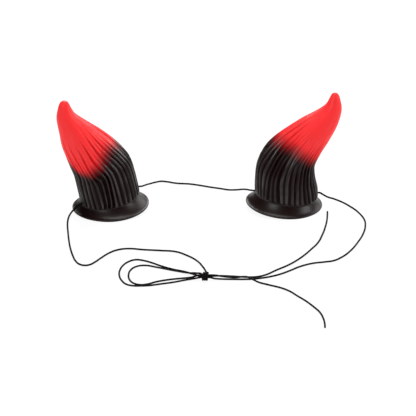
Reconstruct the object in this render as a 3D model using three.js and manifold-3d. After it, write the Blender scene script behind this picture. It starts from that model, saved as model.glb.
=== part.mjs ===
// A pair of devil horns moulded in soft latex, strung on one length of thin elastic cord.
// The pair stands on a table as it would by itself, with its loose cord laid on the table.
// Millimetres, +Z up. The front faces -Y, and the origin is on the table midway between the tips.
//
// Each horn is one hollow moulding, open underneath: a flared foot, a fluted wall that bends
// outwards, and a smooth thumb-shaped tip. The cord runs through two small holes in each foot.

import * as THREE from 'three';
import { mergeVertices } from 'three/addons/utils/BufferGeometryUtils.js';
import Module from 'manifold-3d';

const wasm = await Module();
wasm.setup();

// Sizes of a horn
const HORN_HEIGHT = 120;
const HORN_REACH = 50;
const FOOT_RADIUS = 31;
const FOOT_FLARE = 7.2;
const RIM_RADIUS = FOOT_RADIUS + FOOT_FLARE;
const RIM_LIFT = 4.6;
const LIP_THICKNESS = 1.8;
const LIP_WIDTH = 2.6;
const WALL = 2.2;
const SOLID_TIP_RADIUS = 8.8;
const FLUTE_DEPTH = 1.3;
const FLUTE_COUNT = 36;

// Sizes of the cord, its holes and its knot
const CORD_DIAMETER = 1.8;
const CORD_SIDES = 8;
const HOLE_DIAMETER = 3.4;
const KNOT_BORE_RADIUS = 2.5;
const KNOT_WALL = 1.9;
const KNOT_RADIUS = KNOT_BORE_RADIUS + KNOT_WALL;
const KNOT_LENGTH = 7.7;
const KNOT_TURNS = 4;
const KNOT_SIDES = 14;
const TOUCH_GAP = 0.3;
const TABLE_GAP = 0.05;

// How finely the mouldings are faceted
const POINTS_PER_FLUTE = 2;
const RING_COUNT = 18;
const CAP_RINGS = 3;
const FOOT_STEPS = 3;
const HOLE_SIDES = 12;

// Where the flutes start, begin to fade and end, as shares of the horn's length
const FLUTES_START = 0.015;
const FLUTES_FADE_FROM = 0.36;
const FLUTES_END = 0.7;

// The foot's flare is hollow in profile, and its rim is flat this many degrees round its outer side
const FLARE_POWER = 1.5;
const RIM_FLAT_ANGLE = 60;

// Each horn has its own place, turn and sections, because no two soft mouldings stand alike.
// turn is the direction of its outer side in degrees from +X, holeRise the height of each cord
// hole above the top of the foot. In a section, out is a share of HORN_REACH, up a share of
// HORN_HEIGHT and half, its radius, a share of FOOT_RADIUS; lean is its tilt in degrees.
const HORNS = [
  {
    name: 'horn_left',
    place: [-89.1, -2.5],
    turn: 202,
    holeRise: { outer: 1.9, inner: 1.5 },
    sections: [
      { out: 0.02, up: 0.092, half: 0.965, lean: 9 },
      { out: 0.03, up: 0.145, half: 0.975, lean: 10 },
      { out: 0.14, up: 0.340, half: 0.960, lean: 18 },
      { out: 0.24, up: 0.424, half: 0.910, lean: 27 },
      { out: 0.39, up: 0.516, half: 0.820, lean: 32 },
      { out: 0.53, up: 0.600, half: 0.720, lean: 34 },
      { out: 0.655, up: 0.675, half: 0.610, lean: 32 },
      { out: 0.768, up: 0.762, half: 0.465, lean: 26 },
      { out: 0.893, up: 0.866, half: 0.311, lean: 12 },
      { out: 0.925, up: 0.952, half: 0.190, lean: 0 },
    ],
  },
  {
    name: 'horn_right',
    place: [84.1, 2.5],
    turn: 5,
    holeRise: { outer: 4.5, inner: 2.0 },
    sections: [
      { out: 0.045, up: 0.094, half: 1.025, lean: 6.5 },
      { out: 0.04, up: 0.194, half: 1.035, lean: 9.5 },
      { out: 0.04, up: 0.310, half: 0.995, lean: 17 },
      { out: 0.11, up: 0.416, half: 0.905, lean: 28 },
      { out: 0.215, up: 0.493, half: 0.800, lean: 37 },
      { out: 0.405, up: 0.582, half: 0.680, lean: 42 },
      { out: 0.608, up: 0.671, half: 0.572, lean: 40 },
      { out: 0.812, up: 0.764, half: 0.430, lean: 31 },
      { out: 0.955, up: 0.861, half: 0.279, lean: 16 },
      { out: 0.983, up: 0.945, half: 0.161, lean: 1 },
    ],
  },
];

// The knot's middle, and where the three strands that it ties lie in its bore, as [y, z]
const KNOT_PLACE = [5.5, -176, KNOT_RADIUS + TABLE_GAP];
const STRAND_BACK = [1.05, -0.65];
const STRAND_TOP = [0, 1.2];
const STRAND_FRONT = [-1.05, -0.65];

const latexRed = new THREE.MeshStandardMaterial({ color: 0xe8262b, roughness: 0.45, metalness: 0 });
const cordBlack = new THREE.MeshStandardMaterial({ color: 0x17130f, roughness: 0.85, metalness: 0 });

const DEGREE = Math.PI / 180;
const { lerp, clamp, smoothstep } = THREE.MathUtils;

// Sections of a horn

// A smooth curve through the sections: the place in x and z, and a second curve for size and tilt
function hornSpine(sections) {
  const places = sections.map((s) => new THREE.Vector3(s.out * HORN_REACH, 0, s.up * HORN_HEIGHT));
  const sizes = sections.map((s) => new THREE.Vector3(s.half * FOOT_RADIUS, s.lean * DEGREE, 0));
  return {
    place: new THREE.CatmullRomCurve3(places, false, 'catmullrom'),
    size: new THREE.CatmullRomCurve3(sizes, false, 'catmullrom'),
  };
}

function sectionAt(spine, share) {
  const size = spine.size.getPoint(share);
  const lean = size.y;
  return {
    centre: spine.place.getPoint(share),
    radius: size.x,
    outward: new THREE.Vector3(Math.cos(lean), 0, -Math.sin(lean)),
    along: new THREE.Vector3(Math.sin(lean), 0, Math.cos(lean)),
  };
}

function pointOnSection(section, angle, radius) {
  return section.centre.clone()
    .addScaledVector(section.outward, radius * Math.cos(angle))
    .add(new THREE.Vector3(0, radius * Math.sin(angle), 0));
}

function makeRing(count, pointAt) {
  return Array.from({ length: count }, (_, i) => pointAt((2 * Math.PI * i) / count, i));
}

// A ring drawn in by a given depth; in the flutes it is drawn in further
function sectionRing(section, count, inset, fluteDepth) {
  return makeRing(count, (angle, i) => {
    const inFlute = i % POINTS_PER_FLUTE === 0;
    return pointOnSection(section, angle, section.radius - inset - (inFlute ? fluteDepth : 0));
  });
}

// The rim lies flat on the table on its outer side and lifts a little on its inner side
function rimHeight(angle) {
  const fromOutside = Math.abs(THREE.MathUtils.euclideanModulo(angle + Math.PI, 2 * Math.PI) - Math.PI);
  return RIM_LIFT * smoothstep(fromOutside, RIM_FLAT_ANGLE * DEGREE, Math.PI);
}

// A ring of the flared foot, from its rim (share 0) to the wall above it (share 1)
function footRing(count, share, rimRadius, rimRise, top, topRadius) {
  return makeRing(count, (angle) => {
    const rim = new THREE.Vector3(rimRadius * Math.cos(angle), rimRadius * Math.sin(angle), 0);
    const wall = pointOnSection(top, angle, topRadius);
    const height = lerp(rimHeight(angle) + rimRise, wall.z, share ** FLARE_POWER);
    return rim.lerp(wall, share).setZ(height);
  });
}

// Closed skins made of rings

class Skin {
  constructor() {
    this.points = [];
    this.faces = [];
  }

  add(ring) {
    const first = this.points.length;
    this.points.push(...ring);
    return { first, count: ring.length };
  }

  face(a, b, c, flip) {
    this.faces.push(...(flip ? [a, c, b] : [a, b, c]));
  }

  // Joins a ring to the next one, which has as many points or a whole fraction of them
  join(lower, upper, flip = false) {
    const ratio = lower.count / upper.count;
    const half = Math.floor(ratio / 2);
    const low = (i) => lower.first + (i % lower.count);
    const high = (i) => upper.first + (i % upper.count);
    for (let j = 0; j < upper.count; j += 1) {
      for (let q = 0; q < ratio; q += 1) {
        const i = ratio * j + q;
        this.face(low(i), low(i + 1), high(q < half ? j : j + 1), flip);
      }
      this.face(low(ratio * j + half), high(j + 1), high(j), flip);
    }
  }

  close(ring, pole, flip = false) {
    const top = this.points.push(pole) - 1;
    for (let i = 0; i < ring.count; i += 1) {
      this.face(ring.first + i, ring.first + ((i + 1) % ring.count), top, flip);
    }
  }

  geometry() {
    return new THREE.BufferGeometry().setFromPoints(this.points).setIndex(this.faces);
  }
}

// Solids for cutting, through the merged positions of a closed mesh

function toSolid(geometry) {
  const bare = geometry.clone();
  bare.deleteAttribute('normal');
  bare.deleteAttribute('uv');
  const merged = mergeVertices(bare, 1e-4);
  return new wasm.Manifold(new wasm.Mesh({
    numProp: 3,
    vertProperties: new Float32Array(merged.attributes.position.array),
    triVerts: new Uint32Array(merged.index.array),
  }));
}

function fromSolid(solid) {
  const mesh = solid.getMesh();
  const geometry = new THREE.BufferGeometry();
  geometry.setAttribute('position', new THREE.BufferAttribute(mesh.vertProperties, 3));
  geometry.setIndex(new THREE.BufferAttribute(mesh.triVerts, 1));
  geometry.computeVertexNormals();
  return geometry;
}

// The moulding: fluted outside, smooth inside, and solid where it is thinner than the tip's radius
function hornSkin(spine) {
  const skin = new Skin();
  const fine = FLUTE_COUNT * POINTS_PER_FLUTE;
  const foot = sectionAt(spine, 0);
  const footTop = foot.radius - FLUTE_DEPTH;

  const rimBottom = skin.add(footRing(fine, 0, RIM_RADIUS, 0, foot, footTop));
  let last = rimBottom;
  const climb = (ring, flip) => {
    const next = skin.add(ring);
    skin.join(last, next, flip);
    last = next;
  };

  for (let i = 0; i <= FOOT_STEPS; i += 1) {
    climb(footRing(fine, i / FOOT_STEPS, RIM_RADIUS, LIP_THICKNESS, foot, footTop));
  }
  climb(sectionRing(sectionAt(spine, FLUTES_START), fine, 0, FLUTE_DEPTH));
  for (let i = 1; i <= RING_COUNT; i += 1) {
    const share = i / RING_COUNT;
    const fade = 1 - smoothstep(share, FLUTES_FADE_FROM, FLUTES_END);
    const count = share < FLUTES_END ? fine : FLUTE_COUNT;
    climb(sectionRing(sectionAt(spine, share), count, 0, FLUTE_DEPTH * fade));
  }
  const tip = sectionAt(spine, 1);
  for (let i = 1; i <= CAP_RINGS; i += 1) {
    const turn = (Math.PI / 2) * (i / (CAP_RINGS + 1));
    const centre = tip.centre.clone().addScaledVector(tip.along, tip.radius * Math.sin(turn));
    climb(sectionRing({ ...tip, centre, radius: tip.radius * Math.cos(turn) }, FLUTE_COUNT, 0, 0));
  }
  skin.close(last, tip.centre.clone().addScaledVector(tip.along, tip.radius));

  last = rimBottom;
  const inset = FLUTE_DEPTH + WALL;
  for (let i = 0; i <= FOOT_STEPS; i += 1) {
    const ring = footRing(
      FLUTE_COUNT, i / FOOT_STEPS, RIM_RADIUS - LIP_WIDTH, 0, foot, foot.radius - inset);
    climb(ring, true);
  }
  for (let i = 1; i <= RING_COUNT; i += 2) {
    const section = sectionAt(spine, i / RING_COUNT);
    if (section.radius > SOLID_TIP_RADIUS) {
      climb(sectionRing(section, FLUTE_COUNT, inset, 0), true);
    }
  }
  const roof = skin.points.slice(last.first, last.first + last.count);
  const middle = roof.reduce((sum, p) => sum.add(p), new THREE.Vector3()).divideScalar(roof.length);
  skin.close(last, middle.add(new THREE.Vector3(WALL, 0, 2 * WALL)), true);
  return skin.geometry();
}

// Where a cord hole is, on the wall just above the foot, in the horn's own frame
function holeInHorn(horn, side) {
  const foot = sectionAt(hornSpine(horn.sections), 0);
  const edge = pointOnSection(foot, side === 'outer' ? 0 : Math.PI, foot.radius - FLUTE_DEPTH / 2);
  return edge.add(new THREE.Vector3(0, 0, horn.holeRise[side]));
}

function inWorld(horn, point) {
  return point.clone()
    .applyAxisAngle(new THREE.Vector3(0, 0, 1), horn.turn * DEGREE)
    .add(new THREE.Vector3(horn.place[0], horn.place[1], 0));
}

// A round cutter along the straight line between the two holes, through one wall only
function holeCutter(from, through) {
  const reach = 2 * WALL + FLUTE_DEPTH;
  const direction = through.clone().sub(from).normalize();
  const radius = HOLE_DIAMETER / 2;
  const cutter = new THREE.CylinderGeometry(radius, radius, 2 * reach, HOLE_SIDES);
  const turn = new THREE.Quaternion().setFromUnitVectors(new THREE.Vector3(0, 1, 0), direction);
  cutter.applyQuaternion(turn);
  cutter.translate(through.x, through.y, through.z);
  return cutter;
}

function makeHorn(horn) {
  const outer = holeInHorn(horn, 'outer');
  const inner = holeInHorn(horn, 'inner');
  let solid = toSolid(hornSkin(hornSpine(horn.sections)));
  for (const cutter of [holeCutter(inner, outer), holeCutter(outer, inner)]) {
    solid = solid.subtract(toSolid(cutter));
  }
  const mesh = new THREE.Mesh(fromSolid(solid), latexRed);
  mesh.name = horn.name;
  mesh.position.set(horn.place[0], horn.place[1], 0);
  mesh.rotation.z = horn.turn * DEGREE;
  return mesh;
}

// The knot: turns of cord wound round the bundle, with a bore for the strands that pass through
function makeKnot() {
  const pitch = KNOT_LENGTH / KNOT_TURNS;
  const valley = KNOT_RADIUS - CORD_DIAMETER / 3;
  const profile = [new THREE.Vector2(KNOT_BORE_RADIUS, -KNOT_LENGTH / 2)];
  for (let turn = 0; turn < KNOT_TURNS; turn += 1) {
    const start = -KNOT_LENGTH / 2 + turn * pitch;
    profile.push(new THREE.Vector2(valley, start));
    profile.push(new THREE.Vector2(KNOT_RADIUS, start + 0.3 * pitch));
    profile.push(new THREE.Vector2(KNOT_RADIUS, start + 0.7 * pitch));
  }
  profile.push(new THREE.Vector2(valley, KNOT_LENGTH / 2));
  profile.push(new THREE.Vector2(KNOT_BORE_RADIUS, KNOT_LENGTH / 2));
  profile.push(profile[0].clone());
  const mesh = new THREE.Mesh(new THREE.LatheGeometry(profile, KNOT_SIDES), cordBlack);
  mesh.name = 'knot';
  mesh.position.set(...KNOT_PLACE);
  mesh.rotation.z = Math.PI / 2;
  return mesh;
}

// The cord's stretches

const knotPoint = (x, [y, z]) => [KNOT_PLACE[0] + x, KNOT_PLACE[1] + y, KNOT_PLACE[2] + z];
const KNOT_MOUTH = KNOT_LENGTH / 2;
const BORE_END = TOUCH_GAP / 2;

// Points chosen by hand along each stretch. A point with two numbers lies on the table.
const ON_TABLE = CORD_DIAMETER / 2 + TABLE_GAP;

function holePoint(name, side) {
  const horn = HORNS.find((h) => h.name === name);
  return inWorld(horn, holeInHorn(horn, side)).toArray();
}

const CORDS = [
  {
    name: 'cord_in_left',
    points: [holePoint('horn_left', 'outer'), holePoint('horn_left', 'inner')],
  },
  {
    name: 'cord_between',
    points: [
      holePoint('horn_left', 'inner'), [-60.6, 9.1, 17.4], [-58.3, 12.5, 16.2], [-56.3, 20, 13.8],
      [-53.6, 34, 9], [-50.2, 48, 4.2], [-45.5, 58, 1.4], [-40, 61.6], [-33.4, 60.2], [-24.6, 56.6],
      [-9.9, 54.3], [0.9, 50.4], [10.6, 46.2], [21, 42.4], [29, 38.2, 1.4], [36, 32.5, 3.8],
      [43, 22.5, 8.6], [47.3, 12.5, 12.6], [49.9, 3.9, 15.7], [52.5, 0.6, 16.7],
      holePoint('horn_right', 'inner'),
    ],
  },
  {
    name: 'cord_in_right',
    points: [holePoint('horn_right', 'inner'), holePoint('horn_right', 'outer')],
  },
  {
    name: 'cord_left_run',
    points: [
      holePoint('horn_left', 'outer'), [-121, -15, 7.2], [-124, -17.2, 4.8], [-127, -21, 2.7],
      [-129.3, -28, 1.3], [-130, -36], [-130, -46], [-128.5, -66], [-126.6, -86], [-124.5, -103],
      [-121, -122], [-117.8, -134], [-113.5, -141.6], [-108.7, -144], [-104, -142.5], [-99.6, -137],
      [-93.6, -126.6], [-86, -115], [-78.5, -108.3], [-69, -105.5], [-53.4, -108], [-37, -110],
      [-23, -112.5], [-12.3, -121], [-2.5, -133.4], [3.4, -148, 1.1], [5.6, -158, 2.1],
      [6.4, -165, 3.9], knotPoint(1.6, [KNOT_RADIUS + TOUCH_GAP, 0.8]),
    ],
  },
  {
    name: 'cord_right_run',
    points: [
      knotPoint(BORE_END, STRAND_FRONT), knotPoint(KNOT_MOUTH, STRAND_FRONT), [14, -176.4, 2.4],
      [19.8, -174.8, 1.1], [30.6, -175], [40.8, -175.2], [49.3, -174.6], [59.2, -172.1],
      [67, -169], [76.1, -163.6], [85.6, -155.6], [95.2, -146.6], [107.3, -139.4], [118.8, -136.2],
      [127, -133.6], [135.4, -125.6], [144.1, -111.8], [154.2, -87], [159.7, -68.4], [162.6, -49.3],
      [162.3, -36], [157.2, -17.5], [150, -3.5, 1.05], [142.5, 4.6, 2.2], [134.3, 6.4, 5],
      [127.6, 5.4, 7.6], [123, 5.6, 10.2], [120.2, 5.7, 11.9], holePoint('horn_right', 'outer'),
    ],
  },
  {
    name: 'cord_outer_loop',
    points: [
      knotPoint(-BORE_END, STRAND_BACK), knotPoint(-KNOT_MOUTH, STRAND_BACK), [-2.9, -169.8, 2.8],
      [-8, -163.6, 1.6], [-13, -158.7, 1], [-26.5, -152], [-36.2, -145.5], [-46, -137.5],
      [-53.8, -132.7], [-60.7, -131.1], [-67.3, -135.5], [-72.4, -144.3], [-75.1, -155.8],
      [-75.1, -167.2], [-72.3, -178.5], [-67.8, -186.2], [-62, -189.2], [-54.4, -189.5],
      [-46.8, -188.7], [-35.5, -185.3], [-24.1, -181.6], [-13.7, -177], [-5, -175.6, 1.9],
      knotPoint(-KNOT_MOUTH, STRAND_FRONT), knotPoint(-BORE_END, STRAND_FRONT),
    ],
  },
  {
    name: 'cord_inner_loop',
    points: [
      knotPoint(-KNOT_MOUTH - TOUCH_GAP, [3.3, 0.9]), [-2.9, -171.9, 5.8], [-8, -166.3, 3.3],
      [-13, -161.4, 1.6], [-26.4, -154.6], [-40, -148.4], [-52.6, -144], [-60.3, -147.1],
      [-64.9, -154.7], [-66.5, -165], [-65.2, -176.3], [-61.2, -183.9], [-55.9, -187],
      [-49.8, -186.4], [-39.4, -180.2], [-26.1, -175.2], [-13.7, -172.5], [-7, -172.9, 2],
      [-2.3, -174.6, 4.5], knotPoint(-KNOT_MOUTH, STRAND_TOP), knotPoint(-BORE_END, STRAND_TOP),
    ],
  },
  {
    name: 'cord_end_back',
    points: [
      knotPoint(BORE_END, STRAND_BACK), knotPoint(KNOT_MOUTH, STRAND_BACK), [14, -171.4, 2.6],
      [20, -167.7, 1.1], [30.7, -168.4], [40.8, -169.8], [49, -170.3], [56, -168.9], [63, -164.6],
      [72.1, -155.2], [85.2, -142.1], [94, -130.5], [101.2, -118.7], [107, -107.5], [113.9, -92.9],
      [119.5, -72.2], [123, -54.4], [125.5, -36.1], [126.8, -16.5],
    ],
  },
  {
    name: 'cord_end_front',
    points: [
      knotPoint(BORE_END, STRAND_TOP), knotPoint(KNOT_MOUTH, STRAND_TOP), [14, -174.1, 4.7],
      [20, -170.2, 2], [27, -170.4, 1.1], [35.5, -171.5, 1.3], [41, -172.6, 2.5], [45.3, -174.8, 3.15],
      [49.5, -178.2, 2.5], [55, -181.8, 1.2], [64, -187], [76, -194], [84, -201.5], [90, -210.5],
      [97.6, -221.6], [104.4, -233.9], [109.6, -245.3], [112.4, -258.1], [113.3, -270.1], [113.2, -277],
    ],
  },
];

// Pulls an end back along its stretch, so that two stretches meet with a gap between them
function pullBack(end, next) {
  return end.add(next.clone().sub(end).setLength(TOUCH_GAP / 2));
}

// A path that is stepped at its own points, so that its steps are short where it turns
class Route extends THREE.CatmullRomCurve3 {
  getUtoTmapping(share) {
    return share;
  }
}

function makeCord({ name, points }) {
  const route = points.map(([x, y, z = ON_TABLE]) => new THREE.Vector3(x, y, z));
  pullBack(route[0], route[1]);
  pullBack(route[route.length - 1], route[route.length - 2]);
  const extrudePath = new Route(route, false, 'centripetal');
  const steps = route.length - 1;
  const corners = Array.from({ length: CORD_SIDES }, (_, i) => {
    const angle = ((i + 0.5) * 2 * Math.PI) / CORD_SIDES;
    return new THREE.Vector2(Math.cos(angle), Math.sin(angle)).multiplyScalar(CORD_DIAMETER / 2);
  });
  const section = new THREE.Shape(corners);
  const tube = new THREE.ExtrudeGeometry(section, { steps, extrudePath, bevelEnabled: false });
  const mesh = new THREE.Mesh(tube, cordBlack);
  mesh.name = name;
  return mesh;
}

const pair = new THREE.Group();
pair.add(...HORNS.map(makeHorn), makeKnot(), ...CORDS.map(makeCord));

export default pair;
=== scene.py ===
# %% [markdown]
# # Latex devil horns on an elastic cord
#
# The real thing is a pair of hollow latex horns, brushed bright red at the tip and nearly black
# below, strung on one thin elastic cord that ties under the chin. Here the pair stands on a white
# table with its cord lying loose. The measured model comes first, as a frame that nothing moves:
# this script gives it its looks, piece by piece, in metres.

# %% The measured model
import math
import random
from collections import namedtuple

import bmesh
import bpy
from mathutils import Matrix, Vector, noise


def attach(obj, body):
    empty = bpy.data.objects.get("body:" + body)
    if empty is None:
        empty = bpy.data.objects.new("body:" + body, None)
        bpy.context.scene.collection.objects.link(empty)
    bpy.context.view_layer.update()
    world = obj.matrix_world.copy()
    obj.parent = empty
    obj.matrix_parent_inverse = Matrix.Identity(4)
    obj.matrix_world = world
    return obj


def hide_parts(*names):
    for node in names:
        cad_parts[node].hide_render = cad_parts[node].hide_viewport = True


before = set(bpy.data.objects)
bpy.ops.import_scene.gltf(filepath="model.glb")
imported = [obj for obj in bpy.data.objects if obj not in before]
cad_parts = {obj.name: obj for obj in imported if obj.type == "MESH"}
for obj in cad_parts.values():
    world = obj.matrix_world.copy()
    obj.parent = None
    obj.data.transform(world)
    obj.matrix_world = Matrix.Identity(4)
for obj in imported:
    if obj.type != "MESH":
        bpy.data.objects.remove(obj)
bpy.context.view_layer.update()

# %% [markdown]
# ## The camera
#
# The photograph looks down on the table from the front. A low wide lens would spread the feet and
# shrink the tips, but the two horns here keep their size from foot to tip, so the photographer
# stood far back. A long lens at two and a half metres gives the same calm perspective.

# %% The camera, two and a half metres in front and above
IMAGE_WIDTH_PX = 416
FOCAL_LENGTH_PX = 2500
SENSOR_WIDTH = 36
CAMERA_DISTANCE = 2.5
CAMERA_ELEVATION = math.radians(23.4)
CAMERA_RIGHT = 0.0081
CAMERA_DOWN = 0.002


def make_camera():
    data = bpy.data.cameras.new("camera")
    data.sensor_width = SENSOR_WIDTH
    data.lens = FOCAL_LENGTH_PX / IMAGE_WIDTH_PX * SENSOR_WIDTH
    data.clip_start, data.clip_end = 0.1, 20
    camera = bpy.data.objects.new("camera", data)
    bpy.context.scene.collection.objects.link(camera)
    sight = Vector((0, math.cos(CAMERA_ELEVATION), -math.sin(CAMERA_ELEVATION)))
    upright = Vector((0, math.sin(CAMERA_ELEVATION), math.cos(CAMERA_ELEVATION)))
    camera.location = -CAMERA_DISTANCE * sight - CAMERA_DOWN * upright + Vector((CAMERA_RIGHT, 0, 0))
    camera.rotation_euler = (math.pi / 2 - CAMERA_ELEVATION, 0, 0)
    bpy.context.scene.camera = camera
    return camera


camera = make_camera()
print("camera:", round(camera.data.lens), "mm lens at", camera.location)

# %% [markdown]
# ## Finding the holes in the feet
#
# The cord starts at holes in the horns, so the horns' own sizes are needed before any cord is laid.
# A horn is a row of round sections, each a little further out, higher, smaller or more tilted than
# the last. Their sizes are shares of a few lengths, as in the measured model, and a smooth curve
# runs through them. A bent cylinder would be quicker, but it can't swell and lean as moulded latex
# does.

# %% Sizes of a horn, and its sections
HORN_HEIGHT = 0.120
HORN_REACH = 0.050
FOOT_RADIUS = 0.031
FOOT_FLARE = 0.0072
RIM_RADIUS = FOOT_RADIUS + FOOT_FLARE
RIM_LIFT = 0.0046
LIP_THICKNESS = 0.0018
LIP_WIDTH = 0.0026
WALL = 0.0022
FLUTE_DEPTH = 0.0013
FLUTE_COUNT = 36

Section = namedtuple("Section", "out up half lean")
Horn = namedtuple("Horn", "name place turn front hole_rise seed flute_start sections paint_line")

# hole_rise is how far the outer and the inner cord hole lie above the top of the foot, and the
# flutes are full from flute_start on, as a share of the horn's length. A paint line is where the
# airbrushed black ends: (degrees from the outer side, going round the front, share of the length).
# front says which way round the front is.
LEFT_HORN = Horn(
    name="horn_left", place=(-0.0891, -0.0025), turn=202, front=1, hole_rise=(0.0019, 0.0015), seed=3,
    flute_start=0.050,
    sections=[
        Section(0.02, 0.092, 0.965, 9), Section(0.03, 0.145, 0.975, 10),
        Section(0.14, 0.340, 0.960, 18), Section(0.24, 0.424, 0.910, 27),
        Section(0.39, 0.516, 0.820, 32), Section(0.53, 0.600, 0.720, 34),
        Section(0.655, 0.675, 0.610, 32), Section(0.768, 0.762, 0.465, 26),
        Section(0.893, 0.866, 0.311, 12), Section(0.925, 0.952, 0.190, 0),
    ],
    paint_line=[(10, 0.48), (30, 0.39), (50, 0.36), (80, 0.385), (100, 0.425), (125, 0.44), (160, 0.40),
                (270, 0.44)],
)
RIGHT_HORN = Horn(
    name="horn_right", place=(0.0841, 0.0025), turn=5, front=-1, hole_rise=(0.0045, 0.0020), seed=11,
    flute_start=0.024,
    sections=[
        Section(0.045, 0.094, 1.025, 6.5), Section(0.04, 0.194, 1.035, 9.5),
        Section(0.04, 0.310, 0.995, 17), Section(0.11, 0.416, 0.905, 28),
        Section(0.215, 0.493, 0.800, 37), Section(0.405, 0.582, 0.680, 42),
        Section(0.608, 0.671, 0.572, 40), Section(0.812, 0.764, 0.430, 31),
        Section(0.955, 0.861, 0.279, 16), Section(0.983, 0.945, 0.161, 1),
    ],
    paint_line=[(35, 0.475), (50, 0.462), (80, 0.46), (110, 0.46), (135, 0.44), (180, 0.42), (290, 0.46)],
)
print("sections:", len(LEFT_HORN.sections), "left and", len(RIGHT_HORN.sections), "right")

# %% A section anywhere along a horn
Ring = namedtuple("Ring", "centre radius outward along")


def between(before, start, end, after, share):
    """A smooth step from start to end, whose slopes follow the neighbours on both sides."""
    slope_in, slope_out = (end - before) / 2, (after - start) / 2
    bend = 2 * start - 2 * end + slope_in + slope_out
    rise = -3 * start + 3 * end - 2 * slope_in - slope_out
    return ((bend * share + rise) * share + slope_in) * share + start


def ring_at(horn, share):
    """The section at a share of the horn's length, from 0 at the top of the foot to 1 at the tip."""
    rows, last = horn.sections, len(horn.sections) - 1
    step = min(int(share * last), last - 1)
    start, end = rows[step], rows[step + 1]
    before = rows[step - 1] if step > 0 else [2 * a - b for a, b in zip(start, end)]
    after = rows[step + 2] if step + 2 <= last else [2 * b - a for a, b in zip(start, end)]
    out, up, half, lean = (
        between(*values, share * last - step) for values in zip(before, start, end, after))
    lean = math.radians(lean)
    return Ring(
        centre=Vector((out * HORN_REACH, 0, up * HORN_HEIGHT)),
        radius=half * FOOT_RADIUS,
        outward=Vector((math.cos(lean), 0, -math.sin(lean))),
        along=Vector((math.sin(lean), 0, math.cos(lean))),
    )


def on_ring(ring, angle, radius):
    """A point round a section: angle 0 is the horn's outer side."""
    return ring.centre + radius * (ring.outward * math.cos(angle) + Vector((0, math.sin(angle), 0)))


def stand(horn):
    """The transform from a horn's own frame to its place on the table."""
    return Matrix.Translation((*horn.place, 0)) @ Matrix.Rotation(math.radians(horn.turn), 4, "Z")


def cord_hole(horn, angle, rise):
    foot = ring_at(horn, 0)
    return stand(horn) @ (on_ring(foot, angle, foot.radius - FLUTE_DEPTH / 2) + Vector((0, 0, rise)))


LEFT_OUTER, RIGHT_OUTER = (cord_hole(h, 0, h.hole_rise[0]) for h in (LEFT_HORN, RIGHT_HORN))
LEFT_INNER, RIGHT_INNER = (cord_hole(h, math.pi, h.hole_rise[1]) for h in (LEFT_HORN, RIGHT_HORN))
for hole in (LEFT_OUTER, LEFT_INNER, RIGHT_INNER, RIGHT_OUTER):
    print("cord hole at", [round(x, 4) for x in hole])

# %% [markdown]
# ## The elastic cord
#
# One length of thin elastic runs through both horns and is tied in front of them: it leaves the
# left horn, comes round to the knot, makes two loops, and its two ends stick out to the right. It
# could be simulated, but a simulated rope never lands where the photograph has it. So it is laid
# point by point, and a Bezier curve with automatic handles bends through the points as a limp
# cord does. It lifts only where it crosses itself. The points are the measured model's own.

# %% Where the cord goes on the table
CORD_DIAMETER = 0.0018
ON_TABLE = CORD_DIAMETER / 2 + 0.00005
KNOT = Vector((0.0055, -0.176, 0.00445))
KNOT_HALF = 0.00385
STRAND_BACK, STRAND_TOP, STRAND_FRONT = (0.00105, -0.00065), (0, 0.0012), (-0.00105, -0.00065)


def at_knot(x, strand):
    return KNOT + Vector((x, *strand))


BETWEEN = [
    LEFT_OUTER, LEFT_INNER, (-0.0606, 0.0091, 0.0174), (-0.0583, 0.0125, 0.0162),
    (-0.0563, 0.020, 0.0138), (-0.0536, 0.034, 0.009), (-0.0502, 0.048, 0.0042),
    (-0.0455, 0.058, 0.0014), (-0.040, 0.0616), (-0.0334, 0.0602), (-0.0246, 0.0566),
    (-0.0099, 0.0543), (0.0009, 0.0504), (0.0106, 0.0462), (0.021, 0.0424),
    (0.029, 0.0382, 0.0014), (0.036, 0.0325, 0.0038), (0.043, 0.0225, 0.0086),
    (0.0473, 0.0125, 0.0126), (0.0499, 0.0039, 0.0157), (0.0525, 0.0006, 0.0167),
    RIGHT_INNER, RIGHT_OUTER,
]
LEFT_RUN = [
    LEFT_OUTER, (-0.121, -0.015, 0.0072), (-0.124, -0.0172, 0.0048), (-0.127, -0.021, 0.0027),
    (-0.1293, -0.028, 0.0013), (-0.130, -0.036), (-0.130, -0.046), (-0.1285, -0.066),
    (-0.1266, -0.086), (-0.1245, -0.103), (-0.121, -0.122), (-0.1178, -0.134), (-0.1135, -0.1416),
    (-0.1087, -0.144), (-0.104, -0.1425), (-0.0996, -0.137), (-0.0936, -0.1266), (-0.086, -0.115),
    (-0.0785, -0.1083), (-0.069, -0.1055), (-0.0534, -0.108), (-0.037, -0.110), (-0.023, -0.1125),
    (-0.0123, -0.121), (-0.0025, -0.1334), (0.0034, -0.148, 0.0011), (0.0056, -0.158, 0.0021),
    (0.0064, -0.165, 0.0039),
]
INNER_LOOP = [
    (-0.0029, -0.1719, 0.0058), (-0.008, -0.1663, 0.0033), (-0.013, -0.1614, 0.0016),
    (-0.0264, -0.1546), (-0.040, -0.1484), (-0.0526, -0.144), (-0.0603, -0.1471),
    (-0.0649, -0.1547), (-0.0665, -0.165), (-0.0652, -0.1763), (-0.0612, -0.1839),
    (-0.0559, -0.187), (-0.0498, -0.1864), (-0.0394, -0.1802), (-0.0261, -0.1752),
    (-0.0137, -0.1725), (-0.007, -0.1729, 0.002), (-0.0023, -0.1746, 0.0045),
    at_knot(-KNOT_HALF, STRAND_TOP),
]
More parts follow.
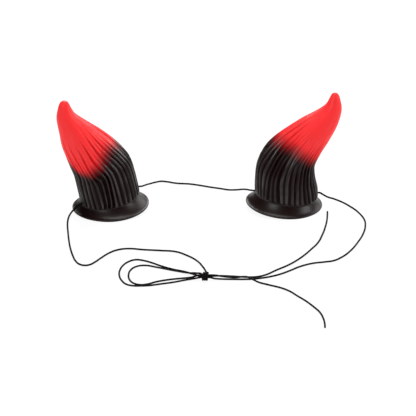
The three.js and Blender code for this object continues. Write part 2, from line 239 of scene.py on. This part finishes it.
END_FRONT = [
    at_knot(KNOT_HALF, STRAND_TOP), (0.014, -0.1741, 0.0047), (0.020, -0.1702, 0.002),
    (0.027, -0.1704, 0.0011), (0.0355, -0.1715, 0.0013), (0.041, -0.1726, 0.0025),
    (0.0453, -0.1748, 0.00315), (0.0495, -0.1782, 0.0025), (0.055, -0.1818, 0.0012),
    (0.064, -0.187), (0.076, -0.194), (0.084, -0.2015), (0.090, -0.2105), (0.0976, -0.2216),
    (0.1044, -0.2339), (0.1096, -0.2453), (0.1124, -0.2581), (0.1133, -0.2701), (0.1132, -0.277),
]
RIGHT_RUN = [
    RIGHT_OUTER, (0.1202, 0.0057, 0.0119), (0.123, 0.0056, 0.0102), (0.1276, 0.0054, 0.0076),
    (0.1343, 0.0064, 0.005), (0.1425, 0.0046, 0.0022), (0.150, -0.0035, 0.00105),
    (0.1572, -0.0175), (0.1623, -0.036), (0.1626, -0.0493), (0.1597, -0.0684), (0.1542, -0.087),
    (0.1441, -0.1118), (0.1354, -0.1256), (0.127, -0.1336), (0.1188, -0.1362), (0.1073, -0.1394),
    (0.0952, -0.1466), (0.0856, -0.1556), (0.0761, -0.1636), (0.067, -0.169), (0.0592, -0.1721),
    (0.0493, -0.1746), (0.0408, -0.1752), (0.0306, -0.175), (0.0198, -0.1748, 0.0011),
    (0.014, -0.1764, 0.0024), at_knot(KNOT_HALF, STRAND_FRONT),
]
OUTER_LOOP = [
    at_knot(-KNOT_HALF, STRAND_FRONT), (-0.005, -0.1756, 0.0019), (-0.0137, -0.177),
    (-0.0241, -0.1816), (-0.0355, -0.1853), (-0.0468, -0.1887), (-0.0544, -0.1895),
    (-0.062, -0.1892), (-0.0678, -0.1862), (-0.0723, -0.1785), (-0.0751, -0.1672),
    (-0.0751, -0.1558), (-0.0724, -0.1443), (-0.0673, -0.1355), (-0.0607, -0.1311),
    (-0.0538, -0.1327), (-0.046, -0.1375), (-0.0362, -0.1455), (-0.0265, -0.152),
    (-0.013, -0.1587, 0.001), (-0.008, -0.1636, 0.0016), (-0.0029, -0.1698, 0.0028),
    at_knot(-KNOT_HALF, STRAND_BACK),
]
END_BACK = [
    at_knot(KNOT_HALF, STRAND_BACK), (0.014, -0.1714, 0.0026), (0.020, -0.1677, 0.0011),
    (0.0307, -0.1684), (0.0408, -0.1698), (0.049, -0.1703), (0.056, -0.1689), (0.063, -0.1646),
    (0.0721, -0.1552), (0.0852, -0.1421), (0.094, -0.1305), (0.1012, -0.1187), (0.107, -0.1075),
    (0.1139, -0.0929), (0.1195, -0.0722), (0.123, -0.0544), (0.1255, -0.0361), (0.1268, -0.0165),
]
ROUTES = (BETWEEN, LEFT_RUN, INNER_LOOP, END_FRONT, RIGHT_RUN, OUTER_LOOP, END_BACK)
print("cord points:", sum(len(route) for route in ROUTES))

# %% [markdown]
# The knot is the cord itself, wound three times round its own three strands. A helix does that: one
# turn after another, a cord's width apart, and each point a little further round than the last.

# %% The turns of the knot
KNOT_TURNS = 3
POINTS_A_TURN = 14
WRAP_RADIUS = 0.0034
WRAP_FROM, WRAP_TO = 0.0026, -0.0028
WRAP_START_ANGLE = math.radians(35)
WRAP_END_ANGLE = math.radians(5)


def knot_turns():
    """Over the top to the front, under, and up behind, moving left with every turn."""
    last_angle = 2 * math.pi * KNOT_TURNS + WRAP_END_ANGLE
    steps = round(POINTS_A_TURN * KNOT_TURNS)
    points = []
    for i in range(steps + 1):
        share = i / steps
        angle = WRAP_START_ANGLE + share * (last_angle - WRAP_START_ANGLE)
        x = WRAP_FROM + share * (WRAP_TO - WRAP_FROM)
        points.append(KNOT + Vector((x, WRAP_RADIUS * math.cos(angle), WRAP_RADIUS * math.sin(angle))))
    return points


print("knot:", len(knot_turns()), "points in", KNOT_TURNS, "turns")

# %% [markdown]
# A curve with a bevel makes the tube. It is then turned into a mesh, because a mesh can carry a UV
# map: across is the distance along the cord in metres, up is the share of the way round. The
# braided cover follows that map wherever the cord bends.

# %% From points to a cord
CORD_STEPS = 8
CORD_ROUNDNESS = 3


def lay_curve(name, points):
    curve = bpy.data.curves.new(name, "CURVE")
    curve.dimensions = "3D"
    curve.resolution_u = CORD_STEPS
    curve.bevel_resolution = CORD_ROUNDNESS
    curve.use_fill_caps = True
    spline = curve.splines.new("BEZIER")
    spline.bezier_points.add(len(points) - 1)
    for bezier, point in zip(spline.bezier_points, points):
        bezier.co = point if len(point) == 3 else (*point, ON_TABLE)
        bezier.handle_left_type = bezier.handle_right_type = "AUTO"
    return bpy.data.objects.new(name, curve)


def mesh_of(curve_object, bevel):
    curve_object.data.bevel_depth = bevel
    curve_object.data.update_tag()
    bpy.context.view_layer.update()
    graph = bpy.context.evaluated_depsgraph_get()
    return bpy.data.meshes.new_from_object(curve_object.evaluated_get(graph))


def make_cord(name, points, stands_for):
    curve_object = lay_curve(name + "_line", points)
    bpy.context.scene.collection.objects.link(curve_object)
    line = [v.co.copy() for v in mesh_of(curve_object, 0).vertices]
    tube = mesh_of(curve_object, CORD_DIAMETER / 2)
    bpy.data.objects.remove(curve_object)

    lengths = [0]
    for start, end in zip(line, line[1:]):
        lengths.append(lengths[-1] + (end - start).length)
    for corner in tube.uv_layers[0].data:
        step = round(corner.uv.x * (len(line) - 1))
        corner.uv.x = lengths[step]
    tube.polygons.foreach_set("use_smooth", [True] * len(tube.polygons))

    piece = bpy.data.objects.new(name, tube)
    bpy.context.scene.collection.objects.link(piece)
    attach(piece, "root")
    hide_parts(*stands_for)
    print(name, "is", round(lengths[-1], 3), "m long, with", len(tube.polygons), "faces")
    return piece


cords = [
    make_cord("cord_across", BETWEEN, ["cord_in_left", "cord_between", "cord_in_right"]),
    make_cord("cord_left", LEFT_RUN + knot_turns() + INNER_LOOP + END_FRONT,
              ["cord_left_run", "knot", "cord_inner_loop", "cord_end_front"]),
    make_cord("cord_right", RIGHT_RUN + OUTER_LOOP + END_BACK,
              ["cord_right_run", "cord_outer_loop", "cord_end_back"]),
]

# %% [markdown]
# ## The horns
#
# Each horn is one hollow moulding. Its outside has a thin lip, a flared foot, and about 36 flutes
# that start at the top of the foot and fade out towards a smooth tip. Sculpting would suit one such
# horn, but two need the same rules, so the skin is grown in rings: a circle is extruded edge by
# edge, and every new ring is put on its section. Each point keeps the number of its spoke, which
# says how far round it is.

# %% The skin's rings, from the rim to the tip
SPOKES_A_FLUTE = 8
SPOKES = FLUTE_COUNT * SPOKES_A_FLUTE
LIP_ROUND = 0.0006
FLARE_STEPS = 12
FLARE_POWER = 1.5
RIM_FLAT_ANGLE = math.radians(60)
WALL_STEPS = 118
CAP_STEPS = 9
FLUTE_START_STEPS = 8


def smooth(value, low, high):
    share = min(max((value - low) / (high - low), 0), 1)
    return share * share * (3 - 2 * share)


def rim_height(angle):
    """The rim lies flat on the table on its outer side and lifts a little on its inner side."""
    from_outside = abs((angle + math.pi) % (2 * math.pi) - math.pi)
    return RIM_LIFT * smooth(from_outside, RIM_FLAT_ANGLE, math.pi)


def on_foot(horn, angle, share, rim_radius, rim_rise, inset):
    """A point of the flared foot, from its rim (share 0) to the wall above it (share 1)."""
    foot = ring_at(horn, 0)
    rim = Vector((rim_radius * math.cos(angle), rim_radius * math.sin(angle), 0))
    wall = on_ring(foot, angle, foot.radius - inset)
    point = rim.lerp(wall, share)
    low = rim_height(angle) + rim_rise
    point.z = low + (wall.z - low) * share ** FLARE_POWER
    return point


def lip_profile():
    """(radius, rise) pairs round the edge of the lip, from its underside to its top."""
    corners = [(LIP_ROUND, -math.pi / 2), (LIP_THICKNESS - LIP_ROUND, 0)]
    return [
        (RIM_RADIUS - LIP_ROUND + LIP_ROUND * math.cos(start + step * math.pi / 6),
         rise + LIP_ROUND * math.sin(start + step * math.pi / 6))
        for rise, start in corners for step in range(4)
    ]


print("spokes:", SPOKES, "lip points:", len(lip_profile()))

# %% [markdown]
# A flute is a rounded crest between two narrow grooves. No two are alike on the real horns: they
# sway, some are deeper or wider, and each fades out at its own height, every second one much lower,
# because the horn narrows and has no room for them all. Blender's noise, read round a circle so
# that it closes, gives the sway, and a seeded random list gives each groove its own habits.

# %% The flutes
FLUTES_FADE_FROM = 0.40
FLUTES_END = 0.80
SECOND_FLUTES_LOWER = 0.11
FLUTE_SWAY = 0.60
SWAY_ROUND = 2.1
SWAY_ALONG = 3.5

Habit = namedtuple("Habit", "depth width reach crest_low sheen")


def groove_habits(horn):
    """For each groove: its depth, width and reach, and how low its crest ends and how it shines."""
    draw = random.Random(horn.seed)
    return [Habit(depth=draw.uniform(0.55, 1.0), width=draw.uniform(0.9, 2.3),
                  reach=draw.uniform(-0.10, 0.08) - SECOND_FLUTES_LOWER * (i % 2),
                  crest_low=draw.uniform(0.3, 0.7), sheen=draw.uniform(0.1, 1.0))
            for i in range(FLUTE_COUNT)]


def flute_at(horn, habits, share, angle):
    """(how deep the skin is drawn in, from 0 on a crest to 1 in a full groove, and its sheen)"""
    circle = Vector((math.cos(angle), math.sin(angle), 0)) * SWAY_ROUND
    sway = FLUTE_SWAY * noise.noise(circle + Vector((0, 0, share * SWAY_ALONG + horn.seed)))
    across = FLUTE_COUNT * angle / (2 * math.pi) + sway
    groove = round(across)
    habit = habits[groove % FLUTE_COUNT]
    crest = math.sin(math.pi * abs(across - groove)) ** habit.width
    fade = 1 - smooth(share, FLUTES_FADE_FROM + habit.reach, FLUTES_END + habit.reach)
    next_crest = habits[math.floor(across) % FLUTE_COUNT]
    return (1 - crest) * habit.depth * fade, next_crest.sheen


def crest_start(horn, habits, share, angle):
    """0 where a crest hasn't begun above the foot, 1 where it is full."""
    crest = int(FLUTE_COUNT * angle / (2 * math.pi)) % FLUTE_COUNT
    low = horn.flute_start * habits[crest].crest_low
    begun = min(max((share - low) / (horn.flute_start - low), 0), 1)
    return math.sqrt(1 - (1 - begun) ** 2)


print("groove depths:", [round(h.depth, 2) for h in groove_habits(LEFT_HORN)[:6]])

# %% [markdown]
# The black is airbrushed from below, up to a line that wanders round the horn. Each point of the
# skin stores how far it is above that line, how deep in a groove it is, how its crest shines, and
# whether it is on the foot. The latex finish reads these numbers, so the paint follows the moulding.

# %% The paint line
PAINT_REACH = 0.16


def paint_line_at(horn, angle):
    """The share of the horn's length at which the black ends, at an angle."""
    turned = math.degrees(horn.front * angle) % 360
    rows = sorted(horn.paint_line)
    rows = [(rows[-1][0] - 360, rows[-1][1]), *rows, (rows[0][0] + 360, rows[0][1])]
    for (start, low), (end, high) in zip(rows, rows[1:]):
        if start <= turned <= end:
            return low + (high - low) * smooth(turned, start, end)
    return rows[0][1]


def paint_at(horn, share, angle):
    """0 well below the paint line, 0.5 on it and 1 well above it."""
    return min(max(0.5 + (share - paint_line_at(horn, angle)) / (2 * PAINT_REACH), 0), 1)


print("left paint line in front:", round(paint_line_at(LEFT_HORN, math.radians(68)), 3))

# %% A point of the fluted wall
GROOVE_DEPTH = 0.0025
FULL_GROOVE_AT = 0.08
SWELL = 0.0004


def on_wall(horn, habits, share, angle):
    """A point of the fluted wall, and its marks."""
    ring = ring_at(horn, share)
    groove, sheen = flute_at(horn, habits, share, angle)
    begun = crest_start(horn, habits, share, angle)
    drawn_in = 1 - (1 - groove) * begun
    place = Vector((math.cos(angle) * 2, math.sin(angle) * 2, share * 5 + horn.seed))
    swell = SWELL * noise.noise(place) * smooth(share, 0, 0.2) * (1 - smooth(share, 0.8, 1))
    lifted = smooth(share, 0, FULL_GROOVE_AT)
    depth = GROOVE_DEPTH * lifted + FLUTE_DEPTH * (1 - lifted)
    marks = {"paint": paint_at(horn, share, angle), "groove": groove * begun,
             "sheen": sheen * begun, "foot": 1 - begun}
    return on_ring(ring, angle, ring.radius + swell - depth * drawn_in), marks


print("a point in front:", on_wall(LEFT_HORN, groove_habits(LEFT_HORN), 0.3, math.radians(68)))

# %% [markdown]
# The rings of a horn share their spokes, so one operator grows them all: extrude_edge_only pulls a
# new ring out of the last one, and each new point is put where its spoke and its ring say. The
# outside grows from the rim over the lip and the foot to the tip, where the last ring is merged into
# a pole. The inside grows from the same rim, with fewer rings, up to the solid tip.

# %% Growing the skin
SOLID_TIP_RADIUS = 0.0088
INNER_STEPS = 24
TIP_TAPER = 0.36
MARKS = ("paint", "groove", "sheen", "foot")


class Skin:
    """A skin of rings that share their spokes, grown by extruding the last ring's edges."""

    def __init__(self):
        self.bm = bmesh.new()
        self.spoke = self.bm.verts.layers.int.new("spoke")
        self.marks = {name: self.bm.verts.layers.float.new(name) for name in MARKS}
        made = bmesh.ops.create_circle(self.bm, segments=SPOKES, radius=1)
        for vert in made["verts"]:
            vert[self.spoke] = round(math.atan2(vert.co.y, vert.co.x) / (2 * math.pi) * SPOKES) % SPOKES
        self.first = list({edge for vert in made["verts"] for edge in vert.link_edges})

    def place(self, verts, rule):
        """rule gives each angle its point and its marks."""
        for vert in verts:
            point, marks = rule(2 * math.pi * vert[self.spoke] / SPOKES)
            vert.co = point
            for name, layer in self.marks.items():
                vert[layer] = marks.get(name, 0)

    def start(self, rule):
        self.place({vert for edge in self.first for vert in edge.verts}, rule)

    def grow(self, edges, rule):
        made = bmesh.ops.extrude_edge_only(self.bm, edges=edges)["geom"]
        self.place([g for g in made if isinstance(g, bmesh.types.BMVert)], rule)
        return [g for g in made if isinstance(g, bmesh.types.BMEdge)]

    def close(self, edges, pole):
        verts = list({vert for edge in edges for vert in edge.verts})
        made = bmesh.ops.extrude_edge_only(self.bm, edges=edges)["geom"]
        ends = [g for g in made if isinstance(g, bmesh.types.BMVert)]
        for layer in self.marks.values():
            for vert in ends:
                vert[layer] = verts[0][layer]
        bmesh.ops.pointmerge(self.bm, verts=ends, merge_co=pole)


def grow_outside(skin, horn):
    habits = groove_habits(horn)
    on_the_foot = {"foot": 1}
    edges = skin.first
    for radius, rise in lip_profile():
        edges = skin.grow(edges, lambda a, r=radius, z=rise: (on_foot(horn, a, 0, r, z, 0), on_the_foot))
    for step in range(1, FLARE_STEPS + 1):
        share = step / FLARE_STEPS
        edges = skin.grow(edges, lambda a, s=share: (
            on_foot(horn, a, s, RIM_RADIUS - LIP_ROUND, LIP_THICKNESS, FLUTE_DEPTH), on_the_foot))
    start = horn.flute_start
    lower = [start * step / FLUTE_START_STEPS for step in range(1, FLUTE_START_STEPS)]
    upper = [start + (1 - start) * step / WALL_STEPS for step in range(WALL_STEPS + 1)]
    for share in lower + upper:
        edges = skin.grow(edges, lambda a, s=share: on_wall(horn, habits, s, a))

    tip = ring_at(horn, 1)
    for step in range(1, CAP_STEPS):
        turn = math.pi / 2 * step / CAP_STEPS
        share = math.sin(turn)
        width = tip.radius * math.cos(turn) * (1 - TIP_TAPER * share * (1 - share))
        cap = tip._replace(centre=tip.centre + tip.along * tip.radius * share, radius=width)
        edges = skin.grow(edges, lambda a, c=cap: (on_ring(c, a, c.radius), {"paint": 1, "sheen": 0.5}))
    skin.close(edges, tip.centre + tip.along * tip.radius)


def grow_inside(skin, horn):
    inset = FLUTE_DEPTH + WALL
    edges = skin.first
    for step in range(1, FLARE_STEPS // 2 + 1):
        share = 2 * step / FLARE_STEPS
        edges = skin.grow(edges, lambda a, s=share: (
            on_foot(horn, a, s, RIM_RADIUS - LIP_WIDTH, 0, inset), {"foot": 1}))
    for step in range(1, INNER_STEPS):
        ring = ring_at(horn, step / INNER_STEPS)
        if ring.radius > SOLID_TIP_RADIUS:
            edges = skin.grow(edges, lambda a, r=ring: (on_ring(r, a, r.radius - inset), {}))
            roof = ring
    skin.close(edges, roof.centre + roof.along * 2 * WALL)


def make_horn(horn):
    skin = Skin()
    skin.start(lambda a: (on_foot(horn, a, 0, RIM_RADIUS - LIP_WIDTH, 0, 0), {"foot": 1}))
    grow_outside(skin, horn)
    grow_inside(skin, horn)
    bmesh.ops.transform(skin.bm, matrix=stand(horn), verts=skin.bm.verts)
    bmesh.ops.recalc_face_normals(skin.bm, faces=skin.bm.faces)
    mesh = bpy.data.meshes.new("latex_" + horn.name)
    skin.bm.to_mesh(mesh)
    skin.bm.free()
    mesh.polygons.foreach_set("use_smooth", [True] * len(mesh.polygons))
    piece = bpy.data.objects.new("latex_" + horn.name, mesh)
    bpy.context.scene.collection.objects.link(piece)
    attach(piece, "root")
    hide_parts(horn.name)
    print(piece.name, "has", len(mesh.polygons), "faces")
    return piece


horns = [make_horn(LEFT_HORN), make_horn(RIGHT_HORN)]

# %% [markdown]
# The cord goes in and out through a round hole on each side of a horn. On the real ones a punch
# makes it, and here a Boolean modifier does, with a round bar that lies along the cord. Edges as
# sharp as the rims of the holes then stay hard, and the rest of the latex is shaded smooth.

# %% The holes for the cord
HOLE_DIAMETER = 0.0034
HOLE_SIDES = 24
BAR_LENGTH = 2 * (2 * WALL + FLUTE_DEPTH)
SHARP_EDGE = math.radians(70)


def hole_bar(hole, other_hole):
    turn = (other_hole - hole).to_track_quat("Z", "Y").to_matrix().to_4x4()
    bm = bmesh.new()
    bmesh.ops.create_cone(bm, cap_ends=True, segments=HOLE_SIDES, radius1=HOLE_DIAMETER / 2,
                          radius2=HOLE_DIAMETER / 2, depth=BAR_LENGTH,
                          matrix=Matrix.Translation(hole) @ turn)
    mesh = bpy.data.meshes.new("hole_bar")
    bm.to_mesh(mesh)
    bm.free()
    bar = bpy.data.objects.new("hole_bar", mesh)
    bpy.context.scene.collection.objects.link(bar)
    return bar


def punch(piece, hole, other_hole):
    bar = hole_bar(hole, other_hole)
    cut = piece.modifiers.new("hole", "BOOLEAN")
    cut.operation, cut.solver, cut.object = "DIFFERENCE", "EXACT", bar
    graph = bpy.context.evaluated_depsgraph_get()
    mesh = bpy.data.meshes.new_from_object(piece.evaluated_get(graph))
    piece.modifiers.clear()
    piece.data = mesh
    bpy.data.objects.remove(bar)


for piece, outer, inner in zip(horns, (LEFT_OUTER, RIGHT_OUTER), (LEFT_INNER, RIGHT_INNER)):
    punch(piece, outer, inner)
    punch(piece, inner, outer)
    piece.data.set_sharp_from_angle(angle=SHARP_EDGE)
    print(piece.name, "has", len(piece.data.polygons), "faces with its holes")

# %% [markdown]
# ## Writing a finish
#
# A material in Blender is a graph of nodes. Drawn by hand it is quick to start and slow to read, so
# here a finish is written as sums. A Wire is one output of a node, and adding, subtracting or
# multiplying Wires adds the Math nodes.

# %% Shader sums in Python
class Wire:
    """One output socket, which can be used in a sum."""

    def __init__(self, finish, socket):
        self.finish, self.socket = finish, socket

    def math(self, operation, a, b=0.0):
        return self.finish.node("ShaderNodeMath", {"operation": operation}, {0: a, 1: b})

    def __add__(self, other):
        return self.math("ADD", self, other)

    def __radd__(self, other):
        return self.math("ADD", other, self)

    def __sub__(self, other):
        return self.math("SUBTRACT", self, other)

    def __rsub__(self, other):
        return self.math("SUBTRACT", other, self)

    def __mul__(self, other):
        return self.math("MULTIPLY", self, other)

    def __rmul__(self, other):
        return self.math("MULTIPLY", other, self)

    def sine(self):
        return self.math("SINE", self)

    def smooth(self, low, high):
        """0 below low, 1 above high, and an easy slope between them."""
        return self.finish.node("ShaderNodeMapRange", {"interpolation_type": "SMOOTHSTEP"},
                                {"Value": self, "From Min": low, "From Max": high})


class Finish:
    """A material that is being written."""

    def __init__(self, name):
        self.material = bpy.data.materials.new(name)
        self.material.use_nodes = True
        self.tree = self.material.node_tree
        self.shader = self.tree.nodes["Principled BSDF"]

    def node(self, kind, settings=None, sockets=None, output=0):
        made = self.tree.nodes.new(kind)
        for name, value in (settings or {}).items():
            setattr(made, name, value)
        for name, value in (sockets or {}).items():
            self.feed(made.inputs[name], value)
        return Wire(self, made.outputs[output])

    def feed(self, socket, value):
        if isinstance(value, Wire):
            self.tree.links.new(value.socket, socket)
        else:
            socket.default_value = value

    def set(self, **sockets):
        for name, value in sockets.items():
            self.feed(self.shader.inputs[name.replace("_", " ")], value)

    def mix(self, share, low, high):
        """low where share is 0 and high where it is 1, as colours."""
        return self.node("ShaderNodeMix", {"data_type": "RGBA"}, {"Factor": share, 6: low, 7: high}, 2)

    def mark(self, name):
        """A number that each point of the skin stores."""
        return self.node("ShaderNodeAttribute", {"attribute_name": name}, output="Fac")

    def noise(self, scale, detail=2.0, roughness=0.5, where=None):
        sockets = {"Scale": scale, "Detail": detail, "Roughness": roughness}
        sockets["Vector"] = where or self.node("ShaderNodeTexCoord", output="Object")
        return self.node("ShaderNodeTexNoise", None, sockets, "Fac")

    def bump(self, height, distance, strength=1.0, under=None):
        sockets = {"Height": height, "Distance": distance, "Strength": strength}
        if under:
            sockets["Normal"] = under
        return self.node("ShaderNodeBump", None, sockets)


def grey(level):
    return (level, level, level, 1)


print("shader sums are ready")

# %% [markdown]
# ## Airbrushed latex
#
# The horns are cast in red latex and the black is sprayed on. Spray lands on the crests first, so
# near the line the grooves stay red a little longer. The mark called paint, plus a little of the
# groove and some noise, gives the black's soft edge. Latex is satin: it has a soft wide highlight,
# and a fine grain from its mould. The highlight is a clear coat, which is strongest on the black
# crests, uneven from crest to crest and in patches, weak on the red and absent in the grooves.

# %% The latex
RED = (0.99, 0.034, 0.037, 1)
# In the grooves under the red the colour goes to a deep red. This is painted shade, and near the paint
# line also a real darker red where the black spray has reached.
DEEP_RED_AND_GROOVE_SHADE = (0.42, 0.001, 0.004, 1)
SPRAYED_BLACK = (0.0085, 0.0018, 0.0016, 1)
# In the grooves under the black the colour is darker and redder. This is painted shade, and also the red
# latex showing through the thin spray.
BLACK_WITH_RED_AND_GROOVE_SHADE = (0.0060, 0.0002, 0.0004, 1)


def latex_finish():
    f = Finish("airbrushed_latex")
    groove, foot, sheen = f.mark("groove"), f.mark("foot"), f.mark("sheen")
    drift = f.noise(38, 3) - 0.5
    speckle = f.noise(900, 2) - 0.5
    above = f.mark("paint") + drift * 0.16 + speckle * 0.06 + groove * 0.20 - 0.04
    red = above.smooth(0.22, 0.80)
    red = red * red
    in_groove = groove.smooth(0.03, 0.50)
    # Deep red in the grooves: painted shade, with more of it near the paint line.
    red_with_groove_shade = f.mix(in_groove * (0.95 - 0.45 * red), RED, DEEP_RED_AND_GROOVE_SHADE)
    # Darker, redder black in the grooves: painted shade, with some red showing through.
    black_with_groove_shade = f.mix(in_groove, SPRAYED_BLACK, BLACK_WITH_RED_AND_GROOVE_SHADE)
    f.set(Base_Color=f.mix(red, black_with_groove_shade, red_with_groove_shade))
    f.set(Roughness=0.34 + 0.10 * f.noise(60, 3) + 0.10 * red + 0.12 * foot)
    f.set(Specular_IOR_Level=0.08)
    shine = (0.28 + 1.1 * sheen + 0.30 * foot) * (1 - 0.65 * red)
    patches = 0.30 + 0.40 * foot + 0.70 * (1 - foot) * f.noise(55, 3).smooth(0.3, 0.7)
    f.set(Coat_Weight=(1 - in_groove) * shine * patches, Coat_Roughness=0.32, Coat_IOR=1.5)
    grain = f.bump(f.noise(1400, 3, 0.6), 0.00006, 0.5)
    f.set(Normal=f.bump(f.noise(160, 2), 0.0004, 0.35, under=grain))
    return f.material


latex = latex_finish()
for horn_piece in horns:
    horn_piece.data.materials.append(latex)
print("latex nodes:", len(latex.node_tree.nodes))

# %% [markdown]
# ## Braided elastic
#
# The cord's cover is braided: two sets of fine threads wind round it in opposite directions. On the
# UV map each set is a slanting wave, and where they cross one rides over the other.

# %% The cord's cover
BRAID_PITCH = 0.0024
THREADS_ROUND = 4
CORD_BLACK = (0.003, 0.0024, 0.0022, 1)
# The lighter cord colour is a painted highlight on the raised threads of the braid.
CORD_PAINTED_HIGHLIGHT = (0.012, 0.010, 0.009, 1)


def cord_finish():
    f = Finish("braided_elastic")
    uv = f.node("ShaderNodeTexCoord", output="UV")
    along, around = (f.node("ShaderNodeSeparateXYZ", None, {"Vector": uv}, axis) for axis in "XY")
    along = along * (2 * math.pi * THREADS_ROUND / BRAID_PITCH)
    around = around * (2 * math.pi * THREADS_ROUND)
    weave = (along + around).sine() * (along - around).sine()
    thread = weave.smooth(-0.9, 0.9)
    # The raised threads take the lighter colour in patches: a painted highlight.
    f.set(Base_Color=f.mix(thread * f.noise(700, 2), CORD_BLACK, CORD_PAINTED_HIGHLIGHT))
    f.set(Roughness=0.62 + 0.15 * thread, Specular_IOR_Level=0.08)
    f.set(Normal=f.bump(thread, 0.00012, 0.8))
    return f.material


elastic = cord_finish()
for cord_piece in cords:
    cord_piece.data.materials.append(elastic)
print("cord nodes:", len(elastic.node_tree.nodes))

# %% [markdown]
# ## The table and the light
#
# The photograph is a cut-out on pure white: no horizon and hardly a shadow. A white floor that
# glows a little hides the shadows without hiding how the pieces stand. Broad soft lights from both
# sides give the grey sheen on the black crests and on the ends of the feet, and a large one above
# gives the red its even brightness.

# %% A white floor
FLOOR_SIZE = 12


def make_floor():
    bm = bmesh.new()
    bmesh.ops.create_grid(bm, x_segments=1, y_segments=1, size=FLOOR_SIZE / 2)
    mesh = bpy.data.meshes.new("floor")
    bm.to_mesh(mesh)
    bm.free()
    floor = bpy.data.objects.new("floor", mesh)
    bpy.context.scene.collection.objects.link(floor)
    f = Finish("white_table")
    f.set(Base_Color=grey(0.08), Roughness=0.9, Emission_Color=grey(1), Emission_Strength=0.90)
    mesh.materials.append(f.material)
    return floor


make_floor()
print("floor:", FLOOR_SIZE, "m square")

# %% Soft lights
Softbox = namedtuple("Softbox", "name place size watts")
AIM = Vector((0, -0.02, 0.05))
SOFTBOXES = [
    Softbox("above", (0, 0.1, 1.6), 0.9, 17),
    Softbox("front_left", (-0.9, -1.0, 0.9), 0.7, 10),
    Softbox("right_side", (1.3, -0.2, 0.6), 0.7, 9),
    Softbox("behind", (0, 1.2, 0.9), 0.8, 18),
    Softbox("behind_right", (1.0, 1.1, 0.65), 1.0, 9),
]


def hang(box):
    data = bpy.data.lights.new(box.name, "AREA")
    data.size = box.size
    data.energy = box.watts
    light = bpy.data.objects.new(box.name, data)
    light.location = box.place
    light.rotation_euler = (AIM - Vector(box.place)).to_track_quat("-Z", "Y").to_euler()
    bpy.context.scene.collection.objects.link(light)


for softbox in SOFTBOXES:
    hang(softbox)

world = bpy.data.worlds.new("studio")
bpy.context.scene.world = world
world.use_nodes = True
world.node_tree.nodes["Background"].inputs["Color"].default_value = grey(1)
world.node_tree.nodes["Background"].inputs["Strength"].default_value = 0.03
bpy.context.scene.view_settings.view_transform = "Standard"
bpy.context.scene.view_settings.look = "None"
print("lights:", [box.name for box in SOFTBOXES])
